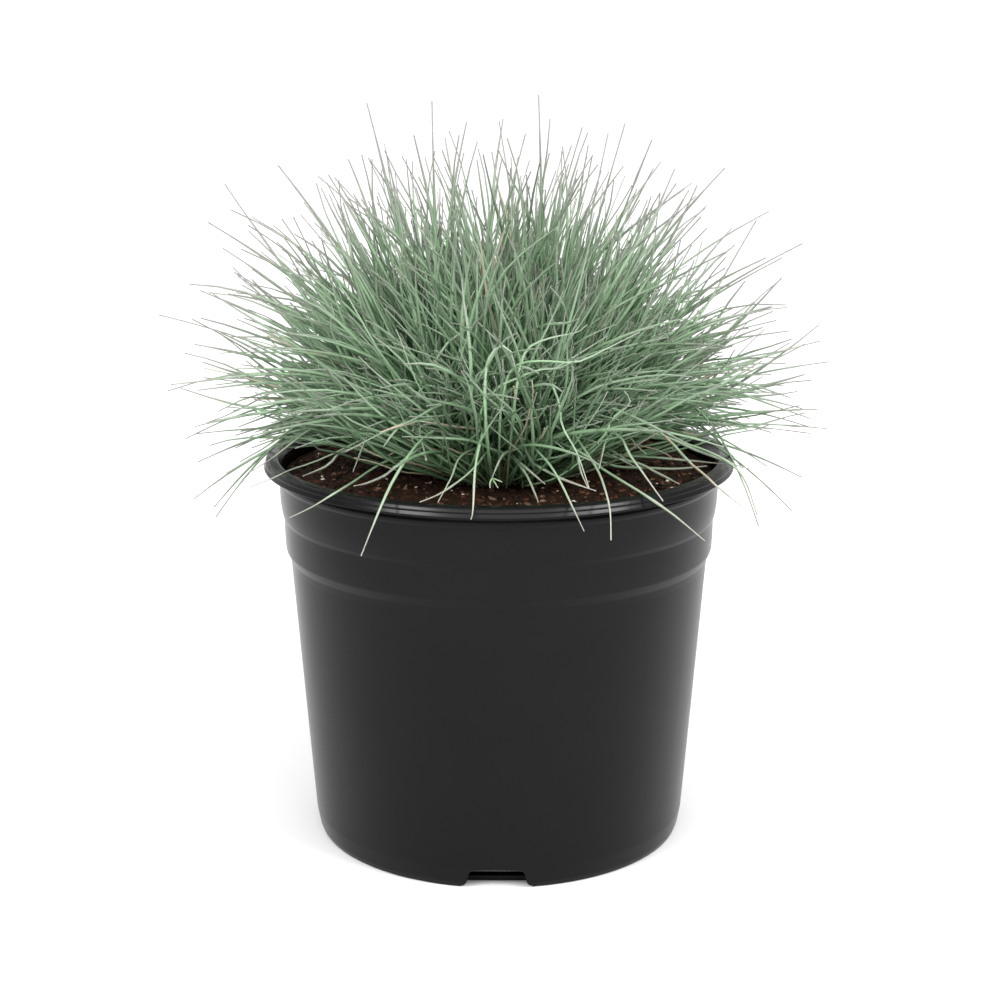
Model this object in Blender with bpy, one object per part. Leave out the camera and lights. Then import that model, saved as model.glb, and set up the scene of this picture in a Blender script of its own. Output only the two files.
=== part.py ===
"""Blue fescue in a nursery pot: the moulded pot, the potting mix that fills it and the
grass clump that grows in it. Metres, +Z up. The origin is on the pot's axis, at the floor.
"""

import math
import random

import bmesh
import bpy
from mathutils import Matrix, Vector, noise

MM = 0.001
GAP = 0.3 * MM  # clearance between neighbours
SEAM_WELD = 0.001 * MM

# Pot, a 2.5 litre nursery pot 18 cm across
LIP_RADIUS = 90 * MM
POT_HEIGHT = 149 * MM
LIP_DROP = 4.4 * MM  # height of the lip's outer face
LIP_EDGE = 0.8 * MM  # rounding of the lip's two outer edges
MOUTH_RADIUS = 84.7 * MM
WALL = 1.2 * MM
BASE_THICKNESS = 1.8 * MM
COLLAR_RADIUS = 84.2 * MM  # upper band
COLLAR_BOTTOM = 127.2 * MM
BAND_RADIUS = 82.6 * MM  # lower band
BAND_BOTTOM = 113.4 * MM
BODY_TOP_RADIUS = 80.3 * MM
BODY_TOP = 107.5 * MM
FOOT_RADIUS = 70.7 * MM
FOOT_CORNER = 9 * MM  # height of the turned-in bottom corner
BODY_TAPER = 0.0772  # radius lost for each unit of height going down
BEAD_RADIUS = 0.5 * MM  # thin ring under the lip
POT_SEGMENTS = 56

# Drainage windows, cut through the bottom corner
WINDOW_COUNT = 4
WINDOW_TURN = math.radians(-91.5)
WINDOW_TOP_WIDTH = 20.5 * MM
WINDOW_FOOT_WIDTH = 25 * MM
WINDOW_MOUTH_WIDTH = 29.5 * MM  # where its rounded corners reach the floor
WINDOW_HEIGHT = 7.1 * MM
WINDOW_INNER_RADIUS = 64 * MM

# Potting mix
MIX_LEVEL = 141.4 * MM
MIX_ROUGHNESS = 1.1 * MM  # height of its crumbs over the level
MIX_CHAMFER = 9 * MM  # the mix does not pack into the pot's bottom corner
MIX_SEGMENTS = 32
MIX_CLEARANCE = 2 * GAP

# Fescue clump
CROWN_RADIUS = 37 * MM
CROWN_HEIGHT = 9 * MM
LOCK_COUNT = 72
LOCK_ROOT_RADIUS = 32 * MM  # circle that the locks' roots fill
LOCK_THICKNESS = 5 * MM
LOCK_SIDES = 5
LOCK_RINGS = 6
REACH_UP = 142 * MM  # from the crown to the tips of the upright locks
REACH_SIDE = 128 * MM
WIDEST_LEAN = math.radians(88)
FIRST_LEAN = 0.6  # share of its lean that a lock has where it leaves the crown
DRAPED_COUNT = 7  # thin locks that hang over the lip
DRAPED_THICKNESS = 3.2 * MM
GOLDEN_ANGLE = math.pi * (3 - math.sqrt(5))
UP = Vector((0, 0, 1))


def material(name, colour, roughness):
    made = bpy.data.materials.new(name)
    made.use_nodes = True
    shader = made.node_tree.nodes["Principled BSDF"]
    shader.inputs["Base Color"].default_value = (*colour, 1)
    shader.inputs["Roughness"].default_value = roughness
    return made


def finished(name, mesh_builder, surface):
    """An object from a bmesh, closed, facing outwards and shaded smooth but for its creases."""
    bmesh.ops.recalc_face_normals(mesh_builder, faces=mesh_builder.faces)
    mesh = bpy.data.meshes.new(name)
    mesh_builder.to_mesh(mesh)
    mesh_builder.free()
    mesh.shade_smooth()
    mesh.set_sharp_from_angle(angle=math.radians(35))
    mesh.materials.append(surface)
    made = bpy.data.objects.new(name, mesh)
    bpy.context.scene.collection.objects.link(made)
    return made


def turned(outline, segments):
    """A bmesh turned about Z from a closed outline of (radius, height) points."""
    bm = bmesh.new()
    verts = [bm.verts.new((radius, 0, height)) for radius, height in outline]
    pairs = zip(verts, verts[1:] + verts[:1])
    edges = [bm.edges.new(pair) for pair in pairs if any(v.co.x > 0 for v in pair)]
    bmesh.ops.spin(bm, geom=verts + edges, axis=(0, 0, 1), cent=(0, 0, 0),
                   angle=math.tau, steps=segments, use_merge=True)
    bmesh.ops.remove_doubles(bm, verts=bm.verts, dist=SEAM_WELD)
    return bm


def arc(centre, radius, start, end, steps):
    """Points of an arc in the outline's plane, angles in degrees."""
    angles = [math.radians(start + (end - start) * i / steps) for i in range(steps + 1)]
    return [(centre[0] + radius * math.cos(a), centre[1] + radius * math.sin(a)) for a in angles]


def body_radius(height):
    """Radius of the pot's tapered outer wall."""
    return BODY_TOP_RADIUS - BODY_TAPER * (BODY_TOP - height)


# ---------------------------------------------------------------- pot

def inner_wall():
    """The pot's inside, from below the mouth down to the middle of the base."""
    return [
        (COLLAR_RADIUS - WALL, POT_HEIGHT - 3 * MM),
        (COLLAR_RADIUS - WALL - 0.2 * MM, COLLAR_BOTTOM + 1 * MM),
        (BAND_RADIUS - WALL, COLLAR_BOTTOM - 2 * MM),
        (BODY_TOP_RADIUS - WALL, BODY_TOP),
        (body_radius(FOOT_CORNER) - WALL, FOOT_CORNER),
        (body_radius(BASE_THICKNESS) - 2 * WALL, BASE_THICKNESS),
        (0, BASE_THICKNESS),
    ]


def pot_outline():
    """The pot's section, down the outside from the mouth and back up the inside."""
    lip_bottom = POT_HEIGHT - 0.2 * MM - LIP_DROP
    lip_edge_centre = LIP_RADIUS - LIP_EDGE
    bead_height = lip_bottom - 3.2 * MM
    lip = [(MOUTH_RADIUS, POT_HEIGHT - 0.2 * MM), (LIP_RADIUS - 3 * MM, POT_HEIGHT)]
    lip += arc((lip_edge_centre, POT_HEIGHT - 0.2 * MM - LIP_EDGE), LIP_EDGE, 90, 0, 2)
    lip += arc((lip_edge_centre, lip_bottom + LIP_EDGE), LIP_EDGE, 0, -90, 2)
    hollow = [
        (lip_edge_centre - WALL / 2, lip_bottom + 2.6 * MM),
        (COLLAR_RADIUS + WALL, lip_bottom + 2.6 * MM),
        (COLLAR_RADIUS, lip_bottom + 0.6 * MM),
    ]
    bead = arc((COLLAR_RADIUS, bead_height), BEAD_RADIUS, 90, -90, 2)
    collar = [
        (COLLAR_RADIUS - 0.1 * MM, COLLAR_BOTTOM + 4.8 * MM),
        (COLLAR_RADIUS - 0.9 * MM, COLLAR_BOTTOM),
    ]
    band = [
        (BAND_RADIUS, COLLAR_BOTTOM - 2.4 * MM),
        (BAND_RADIUS - 0.3 * MM, BAND_BOTTOM + 1.6 * MM),
        (BAND_RADIUS - 0.7 * MM, BAND_BOTTOM),
    ]
    body = [(BODY_TOP_RADIUS, BODY_TOP), (body_radius(FOOT_CORNER), FOOT_CORNER)]
    foot = [
        (FOOT_RADIUS + 1.1 * MM, FOOT_CORNER * 0.4),
        (FOOT_RADIUS + 0.6 * MM, FOOT_CORNER * 0.12),
        (FOOT_RADIUS, 0),
        (0, 0),
    ]
    return lip + hollow + bead + collar + band + body + foot + inner_wall()[::-1]


def window_cutter(turn):
    """A wedge-edged block that cuts one drainage window, at an angle about the pot's axis."""
    below = -1 * MM
    half_outline = [
        (WINDOW_MOUTH_WIDTH / 2, below),
        (WINDOW_MOUTH_WIDTH / 2, 0.2 * MM),
        (WINDOW_FOOT_WIDTH / 2, 1.8 * MM),
        (WINDOW_TOP_WIDTH / 2, WINDOW_HEIGHT),
    ]
    outline = half_outline + [(-across, up) for across, up in reversed(half_outline)]
    bm = bmesh.new()
    corners = [bm.verts.new((WINDOW_INNER_RADIUS, across, up)) for across, up in outline]
    face = bm.faces.new(corners)
    extruded = bmesh.ops.extrude_face_region(bm, geom=[face])["geom"]
    moved = [item for item in extruded if isinstance(item, bmesh.types.BMVert)]
    bmesh.ops.translate(bm, verts=moved, vec=(LIP_RADIUS - WINDOW_INNER_RADIUS, 0, 0))
    bmesh.ops.transform(bm, matrix=Matrix.Rotation(turn, 4, "Z"), verts=bm.verts)
    return bm


def make_pot():
    plastic = material("charcoal_plastic", (0.026, 0.026, 0.028), 0.42)
    pot = finished("pot", turned(pot_outline(), POT_SEGMENTS), plastic)
    for index in range(WINDOW_COUNT):
        turn = WINDOW_TURN + math.tau * index / WINDOW_COUNT
        cutter = finished(f"window_cutter_{index + 1}", window_cutter(turn), plastic)
        cutter.hide_render = True
        cutter.display_type = "WIRE"
        cut = pot.modifiers.new(f"window_{index + 1}", "BOOLEAN")
        cut.operation = "DIFFERENCE"
        cut.solver = "EXACT"
        cut.object = cutter
    return pot


# ---------------------------------------------------------------- potting mix

def make_potting_mix():
    """One plug that follows the pot's inside, crumbly on top and level under the crown."""
    wall = [(radius - MIX_CLEARANCE, height) for radius, height in inner_wall()]
    mouth = wall[0][0]
    corner_radius, corner_height = wall[4]
    foot = BASE_THICKNESS + GAP
    outline = [
        (0, MIX_LEVEL),
        (CROWN_RADIUS + 2 * MM, MIX_LEVEL),
        (CROWN_RADIUS + 10 * MM, MIX_LEVEL),
        (mouth - 24 * MM, MIX_LEVEL),
        (mouth - 12 * MM, MIX_LEVEL),
        (mouth, MIX_LEVEL),
        *wall[1:4],
        (corner_radius, corner_height + 2 * MM),
        (corner_radius - MIX_CHAMFER, foot),
        (0, foot),
    ]
    bm = turned(outline, MIX_SEGMENTS)
    for vert in bm.verts:
        from_axis = math.hypot(vert.co.x, vert.co.y)
        on_top = vert.co.z > MIX_LEVEL - SEAM_WELD
        if on_top and from_axis > CROWN_RADIUS + 3 * MM:
            vert.co.z += MIX_ROUGHNESS * noise.noise(vert.co / (9 * MM)) * 1.4
    soil = material("bark_and_peat", (0.034, 0.019, 0.011), 0.95)
    return finished("potting_mix", bm, soil)


# ---------------------------------------------------------------- fescue clump

def reach_at(lean):
    """How far the longest tips stand from the crown, at a lean from upright."""
    drop = max(0, lean - math.radians(55)) / (WIDEST_LEAN - math.radians(55))
    return REACH_UP + (REACH_SIDE - REACH_UP) * min(1, drop)


def bend(root, control, tip, count):
    """Points of a quadratic curve, the arching line of one lock from its root to its tip."""
    steps = [index / count for index in range(count + 1)]
    return [root * (1 - t) ** 2 + control * 2 * t * (1 - t) + tip * t**2 for t in steps]


def clears_lip(points, thickness):
    """Whether a lock of this thickness passes over the pot's lip with a gap."""
    for index, point in enumerate(points):
        room = lock_radius(index / (len(points) - 1), thickness) + 4 * GAP
        over_lip = MOUTH_RADIUS - room < math.hypot(point.x, point.y) < LIP_RADIUS + room
        if over_lip and point.z - room < POT_HEIGHT:
            return False
    return True


def arched(root, azimuth, first_lean, tip, thickness):
    """A lock's line. It starts at first_lean and arches higher where the lip is in its way."""
    outwards = Vector((math.cos(azimuth), math.sin(azimuth), 0))
    rise = outwards * math.sin(first_lean) + UP * math.cos(first_lean)
    control = root + rise * (tip - root).length * 0.5
    while not clears_lip(bend(root, control, tip, 5 * LOCK_RINGS), thickness):
        control.z += 1 * MM
    return bend(root, control, tip, LOCK_RINGS)


def lock_radius(t, thickness):
    """A lock is narrow where it leaves the crown, fullest below its middle, and ends in a point."""
    return thickness * (0.5 + 0.9 * t) * (1 - t**2) ** 0.8


def add_lock(bm, points, thickness):
    """A tapered round sheaf of blades along the points, closed at its root and its tip."""
    last = len(points) - 1
    rings = []
    for index, point in enumerate(points[:-1]):
        along = (points[index + 1] - points[max(0, index - 1)]).normalized()
        side = along.cross(Vector((-point.y, point.x, 0)) + Vector((0, 0, 1e-6))).normalized()
        up = side.cross(along)
        radius = lock_radius(index / last, thickness)
        turns = [math.tau * k / LOCK_SIDES for k in range(LOCK_SIDES)]
        offsets = [(side * math.cos(a) + up * math.sin(a)) * radius for a in turns]
        rings.append([bm.verts.new(point + offset) for offset in offsets])
    for lower, upper in zip(rings, rings[1:]):
        for k in range(LOCK_SIDES):
            after = (k + 1) % LOCK_SIDES
            bm.faces.new((lower[k], lower[after], upper[after], upper[k]))
    bm.faces.new(reversed(rings[0]))
    tip = bm.verts.new(points[-1])
    for k in range(LOCK_SIDES):
        bm.faces.new((rings[-1][k], rings[-1][(k + 1) % LOCK_SIDES], tip))


def fan_locks(bm, crown_middle, chance):
    """Locks that fill a dome: roots in a sunflower spiral, leaning out more the farther out."""
    for index in range(LOCK_COUNT):
        share = (index + 0.5) / LOCK_COUNT
        azimuth = index * GOLDEN_ANGLE + chance.uniform(-0.06, 0.06)
        lean = math.acos(1 - share * (1 - math.cos(WIDEST_LEAN)))
        reach = reach_at(lean) * (1 if index % 3 == 0 else chance.uniform(0.8, 0.95))
        outwards = Vector((math.cos(azimuth), math.sin(azimuth), 0))
        root = outwards * LOCK_ROOT_RADIUS * math.sqrt(share) + crown_middle
        tip = crown_middle + outwards * math.sin(lean) * reach + UP * math.cos(lean) * reach
        thickness = LOCK_THICKNESS * chance.uniform(0.9, 1.05)
        add_lock(bm, arched(root, azimuth, lean * FIRST_LEAN, tip, thickness), thickness)


def draped_locks(bm, crown_middle, chance):
    """Thin locks that arch out over the lip and hang in front of the collar."""
    for index in range(DRAPED_COUNT):
        azimuth = math.tau * (index + 0.35) / DRAPED_COUNT + chance.uniform(-0.12, 0.12)
        outwards = Vector((math.cos(azimuth), math.sin(azimuth), 0))
        root = outwards * LOCK_ROOT_RADIUS * 0.95 + crown_middle
        fall = chance.uniform(0.6, 1) * 16 * MM
        tip = outwards * (LIP_RADIUS + 9 * MM) + UP * (POT_HEIGHT - fall)
        points = arched(root, azimuth, math.radians(48), tip, DRAPED_THICKNESS)
        add_lock(bm, points, DRAPED_THICKNESS)


def make_clump():
    """The crown, and all locks united with it into one grown piece."""
    grass = material("blue_fescue_blades", (0.26, 0.35, 0.27), 0.6)
    crown_foot = MIX_LEVEL + GAP
    outline = [
        (0, crown_foot + CROWN_HEIGHT),
        (CROWN_RADIUS * 0.55, crown_foot + CROWN_HEIGHT * 0.86),
        (CROWN_RADIUS * 0.86, crown_foot + CROWN_HEIGHT * 0.5),
        (CROWN_RADIUS, crown_foot),
        (0, crown_foot),
    ]
    clump = finished("fescue_clump", turned(outline, 24), grass)
    chance = random.Random(7)
    bm = bmesh.new()
    crown_middle = UP * (crown_foot + CROWN_HEIGHT * 0.3)
    fan_locks(bm, crown_middle, chance)
    draped_locks(bm, crown_middle, chance)
    locks = finished("locks_to_unite", bm, grass)
    locks.hide_render = True
    locks.display_type = "WIRE"
    unite = clump.modifiers.new("locks", "BOOLEAN")
    unite.operation = "UNION"
    unite.solver = "EXACT"
    unite.use_self = True
    unite.object = locks
    return clump


for old in list(bpy.data.objects):
    bpy.data.objects.remove(old, do_unlink=True)
make_pot()
make_potting_mix()
make_clump()
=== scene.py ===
"""The potted blue fescue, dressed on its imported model: a turned plastic pot, damp bark and
peat with its crumbs and perlite, and the blades of the clump grown by Geometry Nodes.
"""

import math
import random

import bmesh
import bpy
from mathutils import Matrix, Vector, noise


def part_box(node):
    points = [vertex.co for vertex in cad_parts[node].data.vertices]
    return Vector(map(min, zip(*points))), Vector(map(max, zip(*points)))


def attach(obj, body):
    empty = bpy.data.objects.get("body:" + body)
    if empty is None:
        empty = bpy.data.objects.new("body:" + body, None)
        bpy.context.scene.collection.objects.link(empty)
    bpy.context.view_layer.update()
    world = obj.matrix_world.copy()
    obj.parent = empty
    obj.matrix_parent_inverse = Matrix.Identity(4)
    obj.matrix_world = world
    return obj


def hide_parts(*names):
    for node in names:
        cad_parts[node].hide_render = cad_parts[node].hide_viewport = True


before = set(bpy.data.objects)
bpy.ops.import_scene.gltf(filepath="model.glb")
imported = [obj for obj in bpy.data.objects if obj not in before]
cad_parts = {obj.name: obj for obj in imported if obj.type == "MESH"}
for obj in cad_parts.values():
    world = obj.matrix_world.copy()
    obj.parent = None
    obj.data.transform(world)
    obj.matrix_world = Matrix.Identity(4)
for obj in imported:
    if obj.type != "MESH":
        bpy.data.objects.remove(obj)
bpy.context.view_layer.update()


# ---------------------------------------------------------------- nursery pot
# One moulded piece of charcoal polypropylene: a flared hollow lip, two bands under it, a
# tapered wall and a flat base. It is turned from its section, and four drainage windows
# with drafted edges are cut through its bottom corner.

MM = 0.001
pot_low, pot_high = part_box("pot")
lip_radius = (pot_high[0] - pot_low[0]) / 2
pot_height = pot_high[2]
pot_wall = 1.2 * MM
pot_turn_steps = 160
pot_crease = math.radians(38)


def rounded(corners, steps=4):
    """The closed outline through (radius, height, rounding) corners, each one rounded."""
    most_of_side = 0.48
    outline = []
    for index, (radius, height, rounding) in enumerate(corners):
        corner = Vector((radius, height))
        before = Vector(corners[index - 1][:2]) - corner
        after = Vector(corners[(index + 1) % len(corners)][:2]) - corner
        if rounding == 0:
            outline.append(corner)
            continue
        half_angle = before.angle(after) / 2
        room = min(before.length * most_of_side, after.length * most_of_side)
        reach = min(rounding / math.tan(half_angle), room)
        start = corner + before.normalized() * reach
        end = corner + after.normalized() * reach
        for step in range(steps + 1):
            t = step / steps
            outline.append(start * (1 - t) ** 2 + corner * 2 * t * (1 - t) + end * t**2)
    return outline


def turned(outline, steps):
    """A bmesh turned about Z from a closed outline of (radius, height), clockwise as drawn."""
    bm = bmesh.new()
    rings = []
    for radius, height in outline:
        places = [
            (radius * math.cos(angle), radius * math.sin(angle), height)
            for angle in (math.tau * step / steps for step in range(steps if radius else 1))
        ]
        rings.append([bm.verts.new(place) for place in places])
    for near, far in zip(rings, rings[1:] + rings[:1]):
        if len(near) == len(far) == 1:
            continue
        for step in range(steps):
            after = (step + 1) % steps
            ring_places = ((near, step), (far, step), (far, after), (near, after))
            corners = [ring[place % len(ring)] for ring, place in ring_places]
            bm.faces.new(list(dict.fromkeys(corners)))
    return bm


def object_of(name, bm, finish, crease=pot_crease):
    """An object from a bmesh, shaded smooth but for its creases."""
    mesh = bpy.data.meshes.new(name)
    bm.to_mesh(mesh)
    bm.free()
    mesh.shade_smooth()
    mesh.set_sharp_from_angle(angle=crease)
    mesh.materials.append(finish)
    made = bpy.data.objects.new(name, mesh)
    bpy.context.scene.collection.objects.link(made)
    return made


def worked_in(obj):
    """The object, with its modifiers worked into its mesh and taken off."""
    bpy.context.view_layer.update()
    graph = bpy.context.evaluated_depsgraph_get()
    worked = bpy.data.meshes.new_from_object(
        obj.evaluated_get(graph), preserve_all_data_layers=True, depsgraph=graph
    )
    obj.modifiers.clear()
    obj.data = worked
    return obj


class NodeTree:
    """A tree of nodes that are added one call at a time."""

    def __init__(self, tree):
        self.tree = tree

    def add(self, kind, inputs, output=0, **settings):
        node = self.tree.nodes.new(kind)
        for key, value in settings.items():
            setattr(node, key, value)
        for key, value in inputs.items():
            if isinstance(value, bpy.types.NodeSocket):
                self.tree.links.new(value, node.inputs[key])
            else:
                node.inputs[key].default_value = value
        return node.outputs[output]

    def math(self, operation, *values):
        return self.add("ShaderNodeMath", dict(enumerate(values)), operation=operation)

    def plus(self, first, second):
        return self.math("ADD", first, second)

    def minus(self, first, second):
        return self.math("SUBTRACT", first, second)

    def times(self, first, second):
        return self.math("MULTIPLY", first, second)

    def split(self, vector):
        return tuple(self.add("ShaderNodeSeparateXYZ", {0: vector}).node.outputs)

    def range(self, value, low, high, out_low=0.0, out_high=1.0):
        return self.add("ShaderNodeMapRange", {
            "Value": value, "From Min": low, "From Max": high,
            "To Min": out_low, "To Max": out_high,
        })

    def ramp(self, factor, stops, interpolation="LINEAR"):
        colours = self.add("ShaderNodeValToRGB", {0: factor})
        colour_ramp = colours.node.color_ramp
        colour_ramp.interpolation = interpolation
        while len(colour_ramp.elements) < len(stops):
            colour_ramp.elements.new(0.5)
        for element, (position, colour) in zip(colour_ramp.elements, stops):
            element.position = position
            element.color = (*colour, 1)
        return colours


class Shading(NodeTree):
    """A material on the object's own coordinates."""

    def __init__(self, name, roughness, specular):
        self.material = bpy.data.materials.new(name)
        self.material.use_nodes = True
        super().__init__(self.material.node_tree)
        self.shader = self.tree.nodes["Principled BSDF"]
        self.shader.inputs["Roughness"].default_value = roughness
        self.shader.inputs["Specular IOR Level"].default_value = specular
        self.place = self.add("ShaderNodeTexCoord", {}, "Object")

    def noise(self, scale, detail=3, stretch=None):
        place = self.place
        if stretch:
            place = self.add("ShaderNodeMapping", {"Vector": place, "Scale": stretch})
        return self.add("ShaderNodeTexNoise", {
            "Vector": place, "Scale": scale, "Detail": detail, "Roughness": 0.55,
        })

    def attribute(self, name):
        return self.add("ShaderNodeAttribute", {}, "Fac", attribute_name=name)

    def mix(self, factor, first, second):
        return self.add("ShaderNodeMix", {0: factor, 6: first, 7: second}, 2, data_type="RGBA")

    def bump(self, height, strength, distance):
        return self.add("ShaderNodeBump", {
            "Height": height, "Strength": strength, "Distance": distance,
        })

    def finish(self, **sockets):
        for name, socket in sockets.items():
            self.tree.links.new(socket, self.shader.inputs[name.replace("_", " ")])
        return self.material


def pot_plastic():
    """Satin black polypropylene: faint mottling, a fine moulded grain and a few dull patches."""
    plastic = Shading("charcoal_plastic", roughness=0.25, specular=0.14)
    mottling = plastic.noise(35, detail=4)
    colour = plastic.mix(mottling, (0.0022, 0.0022, 0.0025, 1), (0.0038, 0.0038, 0.0042, 1))
    flow = plastic.noise(14, detail=5, stretch=(1, 1, 0.25))
    roughness = plastic.range(flow, 0.3, 0.7, 0.23, 0.3)
    grain = plastic.noise(1500, detail=2)
    return plastic.finish(
        Base_Color=colour, Roughness=roughness, Normal=plastic.bump(grain, 0.06, 0.05 * MM)
    )


def pot_section():
    """Corners of the pot's section, down the outside from the mouth and back up the inside."""
    collar = lip_radius - 5.85 * MM
    lip_bottom = pot_height - 3.9 * MM
    outside = [
        (lip_radius - 5.3 * MM, pot_height - 0.1 * MM, 0.7 * MM),
        (lip_radius - 1.35 * MM, pot_height, 1.2 * MM),
        (lip_radius - 0.5 * MM, pot_height - 1.7 * MM, 1 * MM),
        (lip_radius - 0.8 * MM, pot_height - 2.05 * MM, 0.5 * MM),
        (lip_radius - 0.05 * MM, pot_height - 3.3 * MM, 1.6 * MM),
        (lip_radius, lip_bottom, 0.4 * MM),
        (lip_radius - pot_wall, lip_bottom, 0.4 * MM),
        (lip_radius - pot_wall, pot_height - 2.6 * MM, 0.2 * MM),
        (collar + pot_wall, pot_height - 2.2 * MM, 0.4 * MM),
        (collar, 143.4 * MM, 0.8 * MM),
        (collar + 0.5 * MM, 142.3 * MM, 1 * MM),
        (collar + 0.5 * MM, 141.3 * MM, 1 * MM),
        (collar, 140.3 * MM, 0.8 * MM),
        (collar, 135 * MM, 90 * MM),
        (collar - 0.3 * MM, 130.6 * MM, 60 * MM),
        (collar - 0.95 * MM, 127.1 * MM, 0.9 * MM),
        (82.62 * MM, 125.6 * MM, 0.5 * MM),
        (82.6 * MM, 120 * MM, 90 * MM),
        (82.25 * MM, 113.6 * MM, 3 * MM),
        (80.7 * MM, 110.2 * MM, 3 * MM),
    ]
    body_top, body_taper = 80.3 * MM, 0.0772
    wall_height = 107.5 * MM
    foot_height = 8 * MM
    foot_radius = body_top - body_taper * (wall_height - foot_height)
    foot = [
        (body_top, wall_height, 3 * MM),
        (foot_radius, foot_height, 12 * MM),
        (foot_radius - 1.1 * MM, 2 * MM, 3 * MM),
        (foot_radius - 1.9 * MM, 0, 0.4 * MM),
        (0, 0, 0),
    ]
    base_thickness = 1.8 * MM
    inside = [
        (0, base_thickness, 0),
        (foot_radius - 2.6 * MM, base_thickness, 1 * MM),
        (foot_radius - pot_wall, foot_height + 1 * MM, 5 * MM),
        (body_top - pot_wall, wall_height, 3 * MM),
        (82.6 * MM - pot_wall, 125.2 * MM, 2 * MM),
        (collar - pot_wall - 0.2 * MM, 128.2 * MM, 2 * MM),
        (collar - pot_wall, pot_height - 3 * MM, 2 * MM),
    ]
    return outside + foot + inside


def window_cutter(turn):
    """A block with drafted sides that cuts one drainage window through the bottom corner."""
    inner, face, outer = 64 * MM, 71.4 * MM, 75 * MM
    bm = bmesh.new()
    rings = []
    for radius, flare in ((inner, 0), (face, 0), (outer, 2.7 * MM)):
        half = [
            (13.6 * MM + flare, -1 * MM),
            (13.6 * MM + flare, 0.15 * MM),
            (12 * MM + flare, 0.75 * MM),
            (11.1 * MM + flare, 2.2 * MM),
            (10.2 * MM + flare, 6.1 * MM + flare),
            (9.5 * MM + flare * 0.6, 6.9 * MM + flare),
        ]
        outline = half + [(-across, up) for across, up in reversed(half)]
        rings.append([bm.verts.new((radius, across, up)) for across, up in outline])
    for near, far in zip(rings, rings[1:]):
        for k in range(len(near)):
            after = (k + 1) % len(near)
            bm.faces.new((near[k], near[after], far[after], far[k]))
    bm.faces.new(rings[0])
    bm.faces.new(rings[-1])
    bmesh.ops.recalc_face_normals(bm, faces=bm.faces)
    bmesh.ops.transform(bm, matrix=Matrix.Rotation(turn, 4, "Z"), verts=bm.verts)
    return bm


plastic_finish = pot_plastic()
nursery_pot = object_of("nursery_pot", turned(rounded(pot_section()), pot_turn_steps), plastic_finish)
first_window = math.radians(-90.6)
for quarter in range(4):
    turn = first_window + quarter * math.pi / 2
    cutter = object_of("window_cutter", window_cutter(turn), plastic_finish)
    cut = nursery_pot.modifiers.new("window", "BOOLEAN")
    cut.object = cutter
    worked_in(nursery_pot)
    bpy.data.objects.remove(cutter)
nursery_pot.data.set_sharp_from_angle(angle=pot_crease)
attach(nursery_pot, "root")
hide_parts("pot")


# ---------------------------------------------------------------- potting mix
# A plug of damp composted bark and peat that fills the pot to some 8 mm below its lip. Its
# top is a crumbly surface with low lumps, nearly level where it meets the pot's wall.

mix_low, mix_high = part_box("potting_mix")
mix_radius = (mix_high[0] - mix_low[0]) / 2
mix_level = mix_high[2] - 0.8 * MM
mix_turn_steps = 150


def mix_relief(x, y):
    """Height of the mix's surface over its level: lumps, and crumbs on them."""
    lump_width, crumb_width = 14 * MM, 3.2 * MM
    crumb_height = 0.7
    place = Vector((x, y, 0))
    lumps = noise.noise(place / lump_width)
    crumbs = noise.noise(place / crumb_width + Vector((7, 3, 1))) * crumb_height
    return (lumps + crumbs) * MM


def mix_earth():
    """Damp peat and bark: nearly black, browner where fibres and bark show."""
    earth = Shading("bark_and_peat", roughness=0.9, specular=0.1)
    patches = earth.noise(160, detail=6)
    fine = earth.noise(900, detail=4)
    dark = earth.ramp(patches, [
        (0.3, (0.004, 0.002, 0.001)),
        (0.52, (0.014, 0.0065, 0.003)),
        (0.7, (0.05, 0.02, 0.009)),
    ])
    colour = earth.mix(fine, dark, (0.02, 0.01, 0.005, 1))
    return earth.finish(Base_Color=colour, Normal=earth.bump(fine, 0.6, 0.5 * MM))


def mix_outline():
    """Section of the plug: many rings across the top, then down the pot's inside."""
    ring_step = 1.3 * MM
    rings = int(mix_radius / ring_step)
    top = [Vector((mix_radius * k / rings, mix_level)) for k in range(rings + 1)]
    side = [(82.2 * MM, 128.4 * MM), (80.7 * MM, 125 * MM), (78.4 * MM, 107.5 * MM)]
    foot = [(70.7 * MM, 11 * MM), (61.7 * MM, 2.1 * MM), (0, 2.1 * MM)]
    return top + [Vector(corner) for corner in side + foot]


mix_bm = turned(mix_outline(), mix_turn_steps)
for vert in mix_bm.verts:
    from_edge = mix_radius - math.hypot(vert.co.x, vert.co.y)
    if vert.co.z > mix_level - 0.01 * MM:
        vert.co.z += mix_relief(vert.co.x, vert.co.y) * min(1, from_edge / (2 * MM) + 0.3)
earth_finish = mix_earth()
potting_mix_plug = object_of("potting_mix_plug", mix_bm, earth_finish, math.radians(80))
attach(potting_mix_plug, "root")
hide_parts("potting_mix")


# ---------------------------------------------------------------- crumbs on the mix
# Loose bits on the surface: bark crumbs and flakes, and white grains of expanded perlite.
# They are strewn over the top of the plug and lie half sunk in it.


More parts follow.
